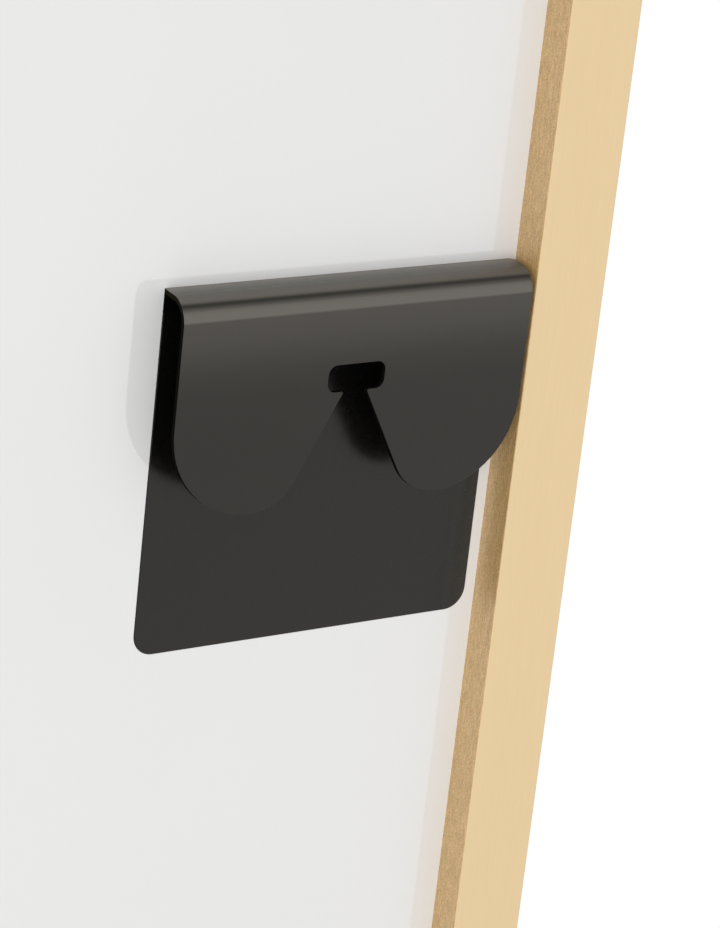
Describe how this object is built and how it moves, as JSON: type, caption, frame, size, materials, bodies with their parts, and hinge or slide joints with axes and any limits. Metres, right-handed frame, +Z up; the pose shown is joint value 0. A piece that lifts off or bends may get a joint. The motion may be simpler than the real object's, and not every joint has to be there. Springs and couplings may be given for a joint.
{
  "type": "full-length floor mirror",
  "caption": "Tall rectangular mirror in a slim brushed gold metal frame, with a white back panel and black folded brackets that hook over wall screws.",
  "frame": {"origin": "middle of the bounding box in X and Y, at the floor under the pads", "axes": "+Z up, -Y out of the reflecting face, +X to the right of someone looking into the mirror"},
  "size_m": [0.53, 0.0266, 1.6325],
  "materials": {
    "frame_gold": "brushed and anodised pale gold",
    "back_panel_white": "smooth gloss white",
    "bracket_black": "satin black powder coat",
    "mirror_silver": "silvered float glass",
    "safety_film": "woven film with adhesive",
    "foam_core": "closed-cell foam",
    "glazing_tape": "foam tape",
    "setting_block": "moulded",
    "floor_pad": "moulded, matte",
    "bracket_adhesive": "acrylic foam pad",
    "corner_key": "pressed, as made",
    "screw_steel": "zinc plated"
  },
  "bodies": {
    "root": {"back_panel": "back_panel_white", "bottom_rail": "frame_gold", "bracket_adhesive_left": "bracket_adhesive", "bracket_adhesive_right": "bracket_adhesive", "corner_key_bottom_left": "corner_key", "corner_key_bottom_right": "corner_key", "corner_key_top_left": "corner_key", "corner_key_top_right": "corner_key", "corner_screws_bottom_left": "screw_steel", "corner_screws_bottom_right": "screw_steel", "corner_screws_top_left": "screw_steel", "corner_screws_top_right": "screw_steel", "floor_pad_left": "floor_pad", "floor_pad_right": "floor_pad", "foam_core_board": "foam_core", "glazing_tape_bottom": "glazing_tape", "glazing_tape_left": "glazing_tape", "glazing_tape_right": "glazing_tape", "glazing_tape_top": "glazing_tape", "hanging_bracket_left": "bracket_black", "hanging_bracket_right": "bracket_black", "left_stile": "frame_gold", "mirror_glass": "mirror_silver", "right_stile": "frame_gold", "safety_film": "safety_film", "setting_block_left": "setting_block", "setting_block_right": "setting_block", "top_rail": "frame_gold"}
  },
  "joints": []
}
